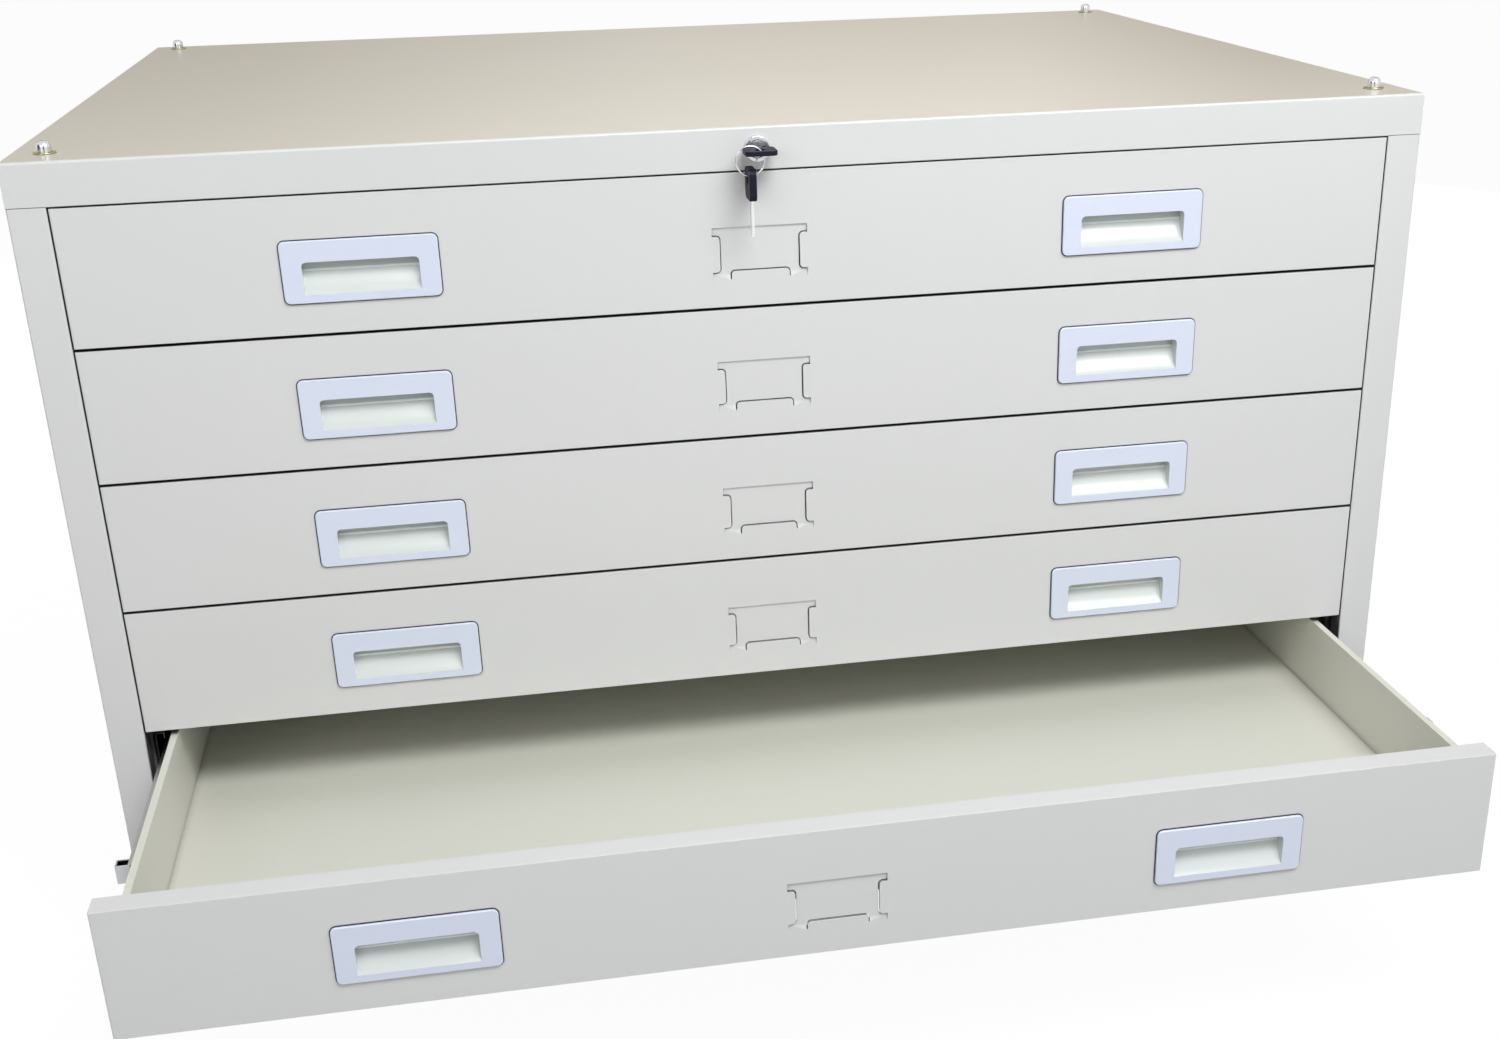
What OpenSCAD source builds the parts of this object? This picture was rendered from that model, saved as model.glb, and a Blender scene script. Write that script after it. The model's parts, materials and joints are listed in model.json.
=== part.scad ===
// Mobile flat-file cabinet with five shallow drawers on telescopic runners.
// Origin: centre of the footprint on the floor. The fronts face -Y, +Z is up.

/* [Cabinet body] */
// Width of the cabinet
body_w = 1000; // [900:10:1200]
// Space between the trays and the cabinet's rear face
rear_room = 41.5; // [41.5:0.5:150]
// Thickness of the body's steel sheet
body_sheet = 1.2; // [1:0.1:1.6]
// Height of the top cap's flange
cap_h = 30; // [30:1:45]
// Width of the flanges on which the cap sits
seat_w = 23; // [20:1:24]
// Width of each front stile
stile_w = 25.5; // [25.5:0.5:26]
// Depth of the fold behind a stile
stile_fold = 15; // [10:1:16]
// Height of the rail under the lowest drawer
rail_h = 30; // [20:1:45]
// Depth of the fold behind that rail
rail_fold = 15; // [8:1:16]
// Width of the side's bottom fold, which takes the casters
foot_fold = 110; // [108:1:150]
// Width of the side's rear fold
rear_fold = 20; // [12:1:30]

/* [Drawer fronts] */
// Height of one drawer front
front_h = 95; // [92:1:120]
// Depth of the drawer front's folded edge
front_depth = 18.5; // [18:0.5:22]
// Gap between two drawer fronts
front_gap = 2; // [1:0.5:4]
// Gap over the highest drawer front
top_gap = 1; // [0.5:0.5:3]
// Gap between a front and a stile
side_gap = 1; // [0.5:0.5:2]
// Height of the lip folded behind the front
front_lip = 12; // [10:1:14]
// How far the lowest drawer stands open
rest_open = 250; // [0:10:480]

/* [Drawer trays] */
// Thickness of the drawer's steel sheet
tray_sheet = 1; // [0.8:0.1:1.4]
// Distance from the cabinet's side to the tray's side
tray_inset = 43.5; // [43:0.5:52]
// Length of the tray
tray_len = 680; // [600:10:690]
// Height of the tray
tray_h = 60; // [50:1:70]
// How far the tray's rim lies under the front's top
rim_drop = 2; // [1:0.5:4]
// Width of the rolled rim on the tray's sides
rim_w = 5.5; // [5:0.5:8]
// Depth of the rim's outer fold
rim_fold = 12; // [6:1:13]

/* [Telescopic runners] */
// Travel of a drawer from closed to full opening
travel = 560; // [500:10:560]
// Travel of the middle member for each unit of drawer travel
middle_share = 0.73; // [0.6:0.01:0.74]
// Height of the runner's centre under the tray's rim
runner_drop = 22.5; // [22:0.5:26]
// Distance from the cabinet's side to the runner
runner_inset = 26; // [26:0.1:26.5]
// Thickness of the runner's steel
runner_t = 1.2; // [1:0.1:1.4]
// Outer height of the cabinet member
outer_h = 22; // [20:1:24]
// Outer height of the middle member
middle_h = 16; // [14:1:18]
// Depth of the cabinet member's channel
outer_depth = 7.5; // [7.5:0.5:8]
// Depth of the middle member's channel
middle_depth = 8; // [7.5:0.5:8.5]
// Height of the lip on the cabinet member's channel
outer_lip = 4; // [2:0.5:5]
// Height of the lip on the middle member's channel
middle_lip = 2.5; // [1.5:0.5:3]
// Thickness of the web that joins a head to the next channel
neck_t = 3; // [2:0.5:4]
// Clearance between a sliding head and its channel
slide_gap = 0.3; // [0.2:0.05:0.4]
// Length of the middle member
middle_len = 600; // [560:10:620]
// Length of the head that runs in the cabinet member
middle_head_len = 225; // [180:1:225]
// Length of the cabinet member
outer_len = 650; // [600:10:680]
// Depth of the open box at the front of the middle member
box_depth = 9; // [7:1:9]
// Height of that open box
box_h = 13.5; // [9:0.5:14]
// Height of the drawer member's plate
plate_h = 18; // [14:1:20]
// Thickness of the drawer member's plate
plate_t = 1.6; // [1.2:0.1:2]
// Length of the drawer member's plate
plate_len = 640; // [560:10:660]

/* [Runner uprights] */
// Width of an upright's web
upright_w = 34; // [24:1:40]
// Width of an upright's foot
upright_foot = 10; // [6:1:12]
// Distance of the front upright's centre from the front
upright_front = 40; // [36:1:60]
// Distance of the rear upright's centre from the back
upright_rear = 80; // [70:1:120]

/* [Handles and label holders] */
// Width of a handle's frame
handle_w = 106.5; // [95:0.5:120]
// Height of a handle's frame
handle_h = 43; // [36:0.5:48]
// How far the frame stands out from the front
handle_t = 2.2; // [1.5:0.1:3]
// Corner radius of the frame
handle_r = 4; // [2:0.5:6]
// Width of the finger pocket
pocket_w = 79; // [70:0.5:90]
// Height of the finger pocket
pocket_h = 22.5; // [18:0.5:26]
// Depth of the pocket behind the front sheet
pocket_depth = 13; // [10:0.5:15]
// How far the pocket lies under the frame's centre
pocket_low = 4.5; // [0:0.5:5]
// Wall of the pocket
pocket_wall = 1.5; // [1:0.1:2.5]
// Distance between the centres of the two handles
handle_pitch = 555; // [400:5:700]
// Height of a handle's centre over the front's lower edge
handle_z = 43.5; // [38:0.5:50]
// Width of the pressed label holder
label_w = 68.5; // [50:0.5:90]
// Height of the pressed label holder
label_h = 38; // [28:0.5:50]
// Height of the label holder's centre over the front's lower edge
label_z = 38; // [34:1:50]
// Depth of the label holder's recess
label_depth = 1.6; // [1.2:0.1:2.4]
// Reach of the label holder's side tabs
tab_w = 5.4; // [4:0.2:10]
// Length of a side tab
tab_len = 25.4; // [16:0.2:28]
// Width of the label holder's lower tab
low_tab_w = 42; // [24:1:48]
// Height of the lower tab
low_tab_h = 6.6; // [4:0.2:9]

/* [Stacking studs] */
// Radius of a stud's head
stud_r = 5; // [4:0.5:6]
// Height of the straight part of the head
stud_h = 3.5; // [3:0.5:10]
// Height of the dome on the head
dome_h = 4; // [3:0.5:4]
// Radius of a stud's shank
shank_r = 3; // [2.5:0.5:3.5]
// Radius of the washer
washer_r = 7.5; // [7:0.5:10]
// Thickness of the washer
washer_t = 1; // [1:0.2:2.4]
// Distance of a stud from the cabinet's side
stud_side = 24; // [18:1:40]
// Distance of the front studs from the front
stud_front = 34; // [30:1:50]
// Distance of the rear studs from the back
stud_rear = 24; // [18:1:40]

/* [Lock] */
// Distance of the lock's axis under the cabinet's top
lock_drop = 15.5; // [15:0.5:15.5]
// Radius of the lock's face ring
ring_face_r = 9; // [8.5:0.5:11]
// Radius of the lock's barrel
barrel_r = 8; // [7.5:0.5:8]
// Length of the barrel behind the fascia's face
barrel_len = 24; // [22:1:30]
// Radius of the turning plug
plug_r = 6; // [5.5:0.1:6.5]
// Running clearance of the plug
plug_gap = 0.05; // [0.03:0.01:0.1]
// Radius of the rod that runs to the back
rod_r = 3; // [2.5:0.5:4]
// Radius of the crank that lifts the bar
crank_r = 10; // [9:0.5:10]
// Radius of the crank's pin
crank_pin_r = 2.5; // [2:0.1:2.5]
// Width of the lifting bar
bar_w = 18; // [14:1:18]
// Thickness of the lifting bar
bar_t = 3; // [2:0.5:4]
// Width of a hook on the bar
hook_w = 12; // [8:1:14]
// Height of a hook
hook_h = 13; // [10:1:14]
// Thickness of a hook
hook_t = 3; // [2:0.5:3]

/* [Keys] */
// Width of a key's head
key_w = 22.6; // [21:0.2:26]
// Length of a key's head
key_len = 22; // [20:1:26]
// Thickness of a key's head
key_t = 5; // [4:0.2:5]
// Radius of the hole in a key's head
eye_r = 3.6; // [3.4:0.1:3.8]
// Distance of that hole from the head's outer end
eye_inset = 8; // [7:0.5:9]
// Width of the blade
blade_w = 6.4; // [5.6:0.2:7]
// Thickness of the blade
blade_t = 2; // [1.6:0.1:2.2]
// Length of the blade
blade_len = 25.5; // [22:0.5:25.5]
// Radius of the key ring
key_ring_r = 10; // [9.8:0.1:10.2]
// Radius of the key ring's wire
wire_r = 0.6; // [0.5:0.05:0.7]

/* [Casters] */
// Radius of a caster wheel
wheel_r = 37.5; // [30:0.5:45]
// Width of the wheel's tread
wheel_w = 24; // [20:1:26]
// Trail of the wheel behind its swivel
trail = 28; // [24:1:30]
// Distance of the swivel from the cabinet's edges
caster_inset = 70; // [70:1:70]
// Width of the caster's top plate
caster_plate_w = 70; // [64:1:72]
// Depth of the caster's top plate
caster_plate_d = 60; // [56:1:66]
// Thickness of the caster's top plate
caster_plate_t = 3; // [2:0.5:4]
// Distance between the bolts across the cabinet
bolt_pitch_x = 54; // [50:1:56]
// Distance between the bolts along the cabinet
bolt_pitch_y = 44; // [42:1:48]
// Radius of the caster's bolts
bolt_r = 3; // [2.5:0.5:3]
// Radius of the caster's axle
axle_r = 4; // [3:0.5:5]
// Radius of the swivel's pin
king_r = 5; // [4:0.5:6]

/* [Hidden] */
$fn = 48;
// A cut runs this far past the face that it opens
over = 1;
// Overlap that joins two shapes of one outline
seam = 0.001;
// Clearance of a screw or stud in its hole
hole_gap = 0.2;
// Running clearance of an axle or pin
pin_gap = 0.05;
// Clearance between parts that stand face to face without touching
near = 0.3;
drawers = 5;
// Reach of a bolt or stud past its nut
thread_end = 2;
nut_r = 5.8;
nut_h = 5;

// Heights of the caster's pieces, from the floor up
crown_t = 4;
race_h = 8;
race_r = 20;
crown_r = 24;
crown_gap = 9.7;
crown_bottom = 2 * wheel_r + crown_gap;
crown_top = crown_bottom + crown_t;
caster_h = crown_top + near + race_h + caster_plate_t;
king_head_t = 4;
king_head_r = 8;

// Levels and faces of the body
body_d = front_depth + tray_len + rear_room;
front_y = -body_d / 2;
back_y = body_d / 2;
body_z = caster_h;
pitch = front_h + front_gap;
fronts_z = body_z + rail_h + front_gap;
cap_z = fronts_z + drawers * pitch - front_gap + top_gap;
body_top = cap_z + cap_h;
floor_top = body_z + 2 * body_sheet;

// Screws that hold the cap
screw_r = 2.5;
screw_head_r = 4.5;
screw_head_h = 2.6;
screw_len = 7;
screw_front = 118;
screw_rear = 141;
screw_mid = 81;
screw_ys = [front_y + screw_front, -screw_mid, screw_mid, back_y - screw_rear];

// Drawers, counted from the top
front_w = body_w - 2 * stile_w - 2 * side_gap;
rim_z = front_h - rim_drop;
tray_z = rim_z - tray_h;
tray_front = front_y + front_depth;
tray_back = tray_front + tray_len;
wall_in = tray_inset + rim_w;
wall_out = wall_in - tray_sheet;
wall_x = body_w / 2 - wall_out;
runner_z = rim_z - runner_drop;
function drawer_z(i) = fronts_z + (drawers - i) * pitch;
function open_at(i) = i == drawers ? rest_open : 0;

// Runner stations, from the cabinet's side inwards
web_gap = 1.5;
box_gap = 1.5;
middle_head_in = runner_inset + runner_t + slide_gap;
middle_web = runner_inset + outer_depth + web_gap;
drawer_head_in = middle_web + runner_t + slide_gap;
plate_in = wall_out - plate_t;
middle_front = tray_front + box_gap;
middle_back = middle_front + middle_len;
outer_front = middle_front + box_depth + box_gap;
head_shift = travel * (1 - middle_share);
drawer_head_front = outer_front + head_shift;
plate_front = tray_front + box_gap;
plate_back = plate_front + plate_len;
upright_ys = [front_y + upright_front, back_y - upright_rear];

// Handles and label holders
handle_xs = [-handle_pitch / 2, handle_pitch / 2];
pocket_r = 3;
recess_t = 1.2;
recess_edge = 2;
tab_t = 0.8;
tab_r = 2.5;
upper_slope = 2;
lower_slope = 4.5;

// Stacking studs
stud_x = body_w / 2 - stud_side;
stud_spots = [[-stud_x, front_y + stud_front], [stud_x, front_y + stud_front],
    [-stud_x, back_y - stud_rear], [stud_x, back_y - stud_rear]];
head_z = body_top + washer_t;

// Lock and lifting bar
lock_z = body_top - lock_drop;
ring_face_t = 2;
plug_out = 1.5;
plug_face = front_y - plug_out;
barrel_back = front_y + barrel_len;
collar_t = 4;
plug_back = barrel_back + collar_t;
collar_r = 7.5;
lock_nut_w = 3;
lock_nut_t = 4;
crank_angle = 45;
lift = 2 * crank_r * sin(crank_angle);
pin_x = crank_r * cos(crank_angle);
pin_z = lock_z - crank_r * sin(crank_angle);
bar_room = 13.8;
bar_back = back_y - body_sheet - bar_room;
bar_front = bar_back - bar_t;
crank_t = 4;
crank_hub_r = 5;
crank_end_r = 4;
crank_back = bar_front - near;
crank_front = crank_back - crank_t;
pin_end = 2;
bar_head_h = 13;
bar_edge = 4;
bar_tail = 12;
slot_play = 1.2;
slot_h = 2 * crank_pin_r + slot_play;
slot_from = pin_x - crank_pin_r - slot_play;
slot_to = crank_r + crank_pin_r + slot_play;
guide_t = 2.3;
guide_h = 12;
guide_side = 7;
guide_w = bar_w + 2 * guide_side;
guided = [for (i = [1:2:drawers]) i];
guide_z = 72;
// Catch on the back of a tray
catch_w = 24;
catch_t = 2;
catch_z = 60;
hook_z = 29;
hook_reach = 13;
catch_gap = 1.5;
hook_front = bar_front - hook_reach;
lip_y = hook_front + hook_t + catch_gap;
lip_z = hook_z + hook_t + lift + catch_gap;

// Keys
key_gap = 1.5;
head_in = plug_face - key_gap;
head_r = 4.5;
tip_in = 1.2;
tip_len = 2;
head_out = head_in - key_len;
eye_y = head_out + eye_inset;
grip = 7;
bridge = key_w / 2 - eye_r;
ring_x = -eye_r - bridge / 2;
ring_drop = 5.5;
ring_z = lock_z - ring_drop;
wire_z = ring_z - key_ring_r;
eye_play = 0.6;
eye_drop = eye_r - wire_r - eye_play;
spare_z = wire_z - eye_drop;
slot_gap = 0.05;

// Casters
caster_x = body_w / 2 - caster_inset;
caster_y = body_d / 2 - caster_inset;
leg_t = 3;
leg_half = 14;
leg_knee = 26;
leg_heel = 12;
boss_r = 9;
boss_t = 3;
hub_side = 2.3;
hub_w = wheel_w + 2 * hub_side;
tyre_t = 9;
tyre_slope = 2;
tyre_edge = 1.5;
wheel_gap = 0.08;
leg_in = hub_w / 2 + near;
plate_z = body_z - caster_plate_t;
bolt_head_h = 4;
pedal_y = 52;
pedal_drop = 11.7;
pedal_z = crown_bottom - pedal_drop;
pedal_r = 4.5;
pedal_pin_r = 2.5;
pedal_len = 30;
pedal_t = 3;
pedal_tilt = 20;

// Shared shapes

// A block given by its low and high corners
module block(low, high) {
    translate(low) cube(high - low);
}

// A block beside the cabinet's left side, whose first two sizes count inwards from that side
module side_block(in_from, in_to, y_from, y_to, z_from, z_to) {
    block([-body_w / 2 + in_from, y_from, z_from], [-body_w / 2 + in_to, y_to, z_to]);
}

// The children on the left and again on the right
module both_sides() {
    children();
    mirror([1, 0, 0]) children();
}

// A disc whose axis runs front to back, from one depth to another
module disc_y(r, y_from, y_to) {
    translate([0, y_to, 0]) rotate([90, 0, 0]) cylinder(r = r, h = y_to - y_from);
}

// A disc whose axis runs across the cabinet
module disc_x(r, x_from, x_to) {
    translate([x_from, 0, 0]) rotate([0, 90, 0]) cylinder(r = r, h = x_to - x_from);
}

// A flat outline with round corners, centred
module round_outline(w, h, r) {
    square([w - 2 * r, h], center = true);
    square([w, h - 2 * r], center = true);
    for (x = [-1, 1], y = [-1, 1]) translate([x * (w / 2 - r), y * (h / 2 - r)]) circle(r = r);
}

// An upright plate with round corners, from one depth to another
module round_plate(w, h, r, y_from, y_to) {
    translate([0, y_to, 0]) rotate([90, 0, 0]) linear_extrude(y_to - y_from) round_outline(w, h, r);
}

// A channel that is open inwards, with lips, drawn at the runner's centre
module channel(in_from, depth, h, lip, y_from, y_to) {
    inner = h / 2 - runner_t;
    side_block(in_from, in_from + runner_t, y_from, y_to, -h / 2, h / 2);
    for (s = [0, 1]) mirror([0, 0, s]) {
        side_block(in_from, in_from + depth, y_from, y_to, inner, h / 2);
        side_block(in_from + depth - runner_t, in_from + depth, y_from, y_to, inner - lip, h / 2);
    }
}

// Body

// Four-sided cap: top sheet, flanges all round and inner flanges on three sides
module top_panel() {
    color("gainsboro") difference() {
        union() {
            difference() {
                block([-body_w / 2, front_y, cap_z], [body_w / 2, back_y, body_top]);
                block([-body_w / 2 + body_sheet, front_y + body_sheet, cap_z - over],
                    [body_w / 2 - body_sheet, back_y - body_sheet, body_top - body_sheet]);
            }
            both_sides() side_block(0, seat_w, front_y, back_y, cap_z, cap_z + body_sheet);
            block([-body_w / 2, front_y, cap_z], [body_w / 2, front_y + stile_fold, cap_z + body_sheet]);
        }
        for (p = stud_spots) translate([p[0], p[1], body_top - body_sheet - over])
            cylinder(r = shank_r + hole_gap, h = body_sheet + 2 * over);
        translate([0, 0, lock_z])
            disc_y(barrel_r + hole_gap / 2, front_y - over, front_y + body_sheet + over);
        cap_screw_spots() translate([0, 0, cap_z - over])
            cylinder(r = screw_r + pin_gap, h = body_sheet + 2 * over);
    }
}

// The children at each screw of the cap
module cap_screw_spots() {
    both_sides() for (y = screw_ys) translate([-body_w / 2 + seat_w / 2, y, 0]) children();
}

// Screws that hold the cap on the sides
module cap_screws() {
    color("silver") cap_screw_spots() translate([0, 0, cap_z - body_sheet - screw_head_h]) {
        cylinder(r = screw_head_r, h = screw_head_h);
        cylinder(r = screw_r, h = screw_head_h + screw_len);
    }
}

// Side sheet with the front stile and the folds along its edges
module side_panel() {
    color("whitesmoke") difference() {
        union() {
            side_block(0, body_sheet, front_y, back_y - body_sheet, body_z, cap_z);
            side_block(0, stile_w, front_y, front_y + body_sheet, body_z, cap_z);
            side_block(stile_w - body_sheet, stile_w, front_y, front_y + stile_fold, floor_top, cap_z);
            side_block(0, seat_w, front_y, back_y - body_sheet, cap_z - body_sheet, cap_z);
            side_block(0, foot_fold, front_y + body_sheet, back_y - body_sheet, body_z, body_z + body_sheet);
            side_block(0, rear_fold, back_y - 2 * body_sheet, back_y - body_sheet, body_z, cap_z);
        }
        cap_screw_spots() translate([0, 0, cap_z - body_sheet - over])
            cylinder(r = screw_r + hole_gap, h = body_sheet + 2 * over);
        caster_bolt_spots() translate([0, 0, body_z - over])
            cylinder(r = bolt_r + hole_gap, h = 2 * over + body_sheet);
    }
}

module left_side_panel() {
    side_panel();
}

module right_side_panel() {
    mirror([1, 0, 0]) side_panel();
}

// Back sheet, outside the rear folds of the sides
module back_panel() {
    color("whitesmoke") block([-body_w / 2, back_y - body_sheet, body_z], [body_w / 2, back_y, cap_z]);
}

// Floor sheet with the rail under the lowest drawer
module bottom_panel() {
    rail_x = body_w / 2 - stile_w;
    color("whitesmoke") difference() {
        union() {
            block([-body_w / 2 + body_sheet, front_y + body_sheet, body_z + body_sheet],
                [body_w / 2 - body_sheet, back_y - 2 * body_sheet, floor_top]);
            block([-rail_x, front_y, body_z], [rail_x, front_y + body_sheet, body_z + rail_h]);
            block([-rail_x, front_y, body_z + rail_h - body_sheet],
                [rail_x, front_y + rail_fold, body_z + rail_h]);
        }
        caster_bolt_spots() translate([0, 0, body_z])
            cylinder(r = bolt_r + hole_gap, h = 2 * body_sheet + over);
    }
}

// Hat-shaped uprights that carry the runners, two on each side
module runner_uprights() {
    web = upright_w / 2;
    top = cap_z - body_sheet;
    color("lightgray") both_sides() for (y = upright_ys) {
        side_block(runner_inset - body_sheet, runner_inset, y - web, y + web, floor_top, top);
        for (s = [-1, 1]) {
            edge = y + s * web;
            flange = edge - s * body_sheet;
            foot = edge + s * upright_foot;
            side_block(body_sheet, runner_inset, min(edge, flange), max(edge, flange), floor_top, top);
            side_block(body_sheet, 2 * body_sheet, min(edge, foot), max(edge, foot), floor_top, top);
        }
    }
}

// Fixed members of the runners, one on each side of each drawer
module cabinet_runners() {
    color("silver") for (i = [1:drawers]) translate([0, 0, drawer_z(i) + runner_z]) both_sides()
        channel(runner_inset, outer_depth, outer_h, outer_lip, outer_front, outer_front + outer_len);
}

// Stacking studs

module stacking_studs() {
    shank_z = body_top - body_sheet - nut_h - thread_end;
    color("silver") for (p = stud_spots) translate([p[0], p[1], 0]) {
        translate([0, 0, head_z]) cylinder(r = stud_r, h = stud_h);
        translate([0, 0, head_z + stud_h]) dome();
        translate([0, 0, shank_z]) cylinder(r = shank_r, h = head_z - shank_z);
    }
}

// Rounded end of a stud: a flat top inside a quarter-round edge
module dome() {
    rotate_extrude() intersection() {
        union() {
            square([stud_r - dome_h + seam, dome_h]);
            translate([stud_r - dome_h, 0]) circle(r = dome_h);
        }
        square([stud_r, dome_h]);
    }
}

module stud_washers() {
    color("khaki") for (p = stud_spots) translate([p[0], p[1], body_top]) difference() {
        cylinder(r = washer_r, h = washer_t);
        translate([0, 0, -over]) cylinder(r = shank_r + hole_gap, h = washer_t + 2 * over);
    }
}

module stud_nuts() {
    color("silver") for (p = stud_spots) translate([p[0], p[1], body_top - body_sheet - nut_h]) difference() {
        cylinder(r = nut_r, h = nut_h, $fn = 6);
        translate([0, 0, -over]) cylinder(r = shank_r + pin_gap, h = nut_h + 2 * over);
    }
}

// Lock

module lock_housing() {
    color("silver") translate([0, 0, lock_z]) difference() {
        union() {
            disc_y(ring_face_r, front_y - ring_face_t, front_y);
            disc_y(barrel_r, front_y - ring_face_t, barrel_back);
        }
        disc_y(plug_r + plug_gap, front_y - ring_face_t - over, barrel_back + over);
    }
}

module lock_nut() {
    nut_front = front_y + body_sheet;
    color("silver") translate([0, 0, lock_z]) difference() {
        disc_y(barrel_r + lock_nut_w, nut_front, nut_front + lock_nut_t);
        disc_y(barrel_r + pin_gap, nut_front - over, nut_front + lock_nut_t + over);
    }
}

// Turning plug with its keyway and the collar that holds it in the barrel
module lock_plug() {
    key_x = blade_w / 2 + hole_gap;
    key_z = blade_t / 2 + hole_gap;
    color("lightgray") translate([0, 0, lock_z]) difference() {
        union() {
            disc_y(plug_r, plug_face, plug_back);
            disc_y(collar_r, barrel_back + near, plug_back);
        }
        block([-key_x, plug_face - over, -key_z], [key_x, head_in + blade_len + over, key_z]);
    }
}

// Rod from the plug to the back, with the crank and pin that lift the bar
module lock_rod() {
    color("silver") translate([0, 0, lock_z]) {
        disc_y(rod_r, plug_back, crank_back);
        rotate([0, crank_angle, 0]) {
            disc_y(crank_hub_r, crank_front, crank_back);
            translate([crank_r, 0, 0]) disc_y(crank_end_r, crank_front, crank_back);
            block([0, crank_front, -crank_end_r], [crank_r, crank_back, crank_end_r]);
            translate([crank_r, 0, 0]) disc_y(crank_pin_r, crank_front, bar_back + pin_end);
        }
    }
}

// Lifting bar with a hook behind each drawer and a slot for the crank's pin
module lock_bar() {
    color("silver") difference() {
        union() {
            block([-bar_w / 2, bar_front, drawer_z(drawers) + hook_z - bar_tail],
                [bar_w / 2, bar_back, pin_z]);
            block([-bar_w / 2, bar_front, pin_z - bar_head_h / 2],
                [slot_to + bar_edge, bar_back, pin_z + bar_head_h / 2]);
            for (i = [1:drawers]) translate([0, 0, drawer_z(i)]) {
                block([-hook_w / 2, hook_front, hook_z], [hook_w / 2, bar_back, hook_z + hook_t]);
                block([-hook_w / 2, hook_front, hook_z],
                    [hook_w / 2, hook_front + hook_t, hook_z + hook_h]);
            }
        }
        block([slot_from, bar_front - over, pin_z - slot_h / 2],
            [slot_to, bar_back + over, pin_z + slot_h / 2]);
    }
}

// Brackets on the back sheet in which the bar slides
module lock_bar_guides() {
    slot_x = bar_w / 2 + near;
    color("silver") for (i = guided) translate([0, 0, drawer_z(i) + guide_z]) difference() {
        block([-guide_w / 2, bar_front - near - guide_t, 0], [guide_w / 2, back_y - body_sheet, guide_h]);
        block([-slot_x, bar_front - near, -over], [slot_x, bar_back + near, guide_h + over]);
    }
}

// Drawers

// The children at a drawer's place, counted from the top
module at_drawer(i) {
    translate([0, -open_at(i), drawer_z(i)]) children();
}

// Sloping wall of the label recess, which grows from nothing to its full depth over a height
module recess_slope(height) {
    translate([-label_w / 2, front_y, 0]) rotate([90, 0, 90]) linear_extrude(label_w)
        polygon([[0, 0], [label_depth, 0], [label_depth, height]]);
}

// Pressed recess for a label, with three tabs lanced out in front of it
module label_holder() {
    back = front_y + tray_sheet;
    floor_y = front_y + label_depth;
    half_w = label_w / 2;
    half_h = label_h / 2;
    translate([0, 0, label_z]) {
        difference() {
            block([-half_w - recess_edge, back, -half_h - recess_edge],
                [half_w + recess_edge, floor_y + recess_t, half_h + recess_edge]);
            block([-half_w, front_y, -half_h], [half_w, floor_y, half_h]);
        }
        translate([0, 0, -half_h]) recess_slope(lower_slope);
        translate([0, 0, half_h]) mirror([0, 0, 1]) recess_slope(upper_slope);
        translate([0, front_y + tab_t, 0]) rotate([90, 0, 0]) linear_extrude(tab_t) {
            for (x = [-half_w, half_w]) translate([x, 0]) round_outline(2 * tab_w, tab_len, tab_r);
            translate([0, -half_h]) round_outline(low_tab_w, 2 * low_tab_h, tab_r);
        }
    }
}

// Folded front of one drawer, open at the back
module drawer_front(i) {
    half = front_w / 2;
    inner = half - tray_sheet;
    hole_w = pocket_w + 2 * pocket_wall + 2 * hole_gap;
    hole_h = pocket_h + 2 * pocket_wall + 2 * hole_gap;
    lip_y0 = tray_front - tray_sheet;
    color("whitesmoke") at_drawer(i) {
        difference() {
            union() {
                difference() {
                    block([-half, front_y, 0], [half, tray_front, front_h]);
                    block([-inner, front_y + tray_sheet, tray_sheet],
                        [inner, tray_front + over, front_h - tray_sheet]);
                }
                block([-half, lip_y0, 0], [half, tray_front, front_lip]);
                block([-half, lip_y0, front_h - front_lip], [half, tray_front, front_h]);
            }
            for (x = handle_xs) translate([x, 0, handle_z - pocket_low])
                round_plate(hole_w, hole_h, pocket_r + pocket_wall,
                    front_y - over, front_y + tray_sheet + over);
            block([-label_w / 2, front_y - over, label_z - label_h / 2],
                [label_w / 2, front_y + tray_sheet + over, label_z + label_h / 2]);
        }
        label_holder();
    }
}

// Tray with rolled side rims and the catch for the lock's bar
module drawer_tray(i) {
    rim_from = body_w / 2 - tray_inset;
    in_x = body_w / 2 - wall_in;
    color("gainsboro") at_drawer(i) {
        block([-wall_x, tray_front, tray_z], [wall_x, tray_back, tray_z + tray_sheet]);
        block([-wall_x, tray_front, tray_z], [wall_x, tray_front + tray_sheet, rim_z]);
        block([-wall_x, tray_back - tray_sheet, tray_z], [wall_x, tray_back, rim_z]);
        both_sides() {
            block([-wall_x, tray_front, tray_z], [-in_x, tray_back, rim_z]);
            block([-rim_from, tray_front, rim_z - tray_sheet], [-in_x, tray_back, rim_z]);
            block([-rim_from, tray_front, rim_z - rim_fold], [-rim_from + tray_sheet, tray_back, rim_z]);
        }
        block([-catch_w / 2, tray_back - tray_sheet, catch_z],
            [catch_w / 2, lip_y + catch_t, catch_z + catch_t]);
        block([-catch_w / 2, lip_y, lip_z], [catch_w / 2, lip_y + catch_t, catch_z + catch_t]);
    }
}

// Two plastic finger pulls pressed into one front
module drawer_handles(i) {
    color("lavender") at_drawer(i) for (x = handle_xs) translate([x, 0, handle_z]) difference() {
        union() {
            round_plate(handle_w, handle_h, handle_r, front_y - handle_t, front_y);
            translate([0, 0, -pocket_low]) round_plate(pocket_w + 2 * pocket_wall, pocket_h + 2 * pocket_wall,
                pocket_r + pocket_wall, front_y - handle_t, front_y + pocket_depth + pocket_wall);
        }
        translate([0, 0, -pocket_low]) round_plate(pocket_w, pocket_h, pocket_r, front_y - handle_t - over,
            front_y + pocket_depth);
    }
}

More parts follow.
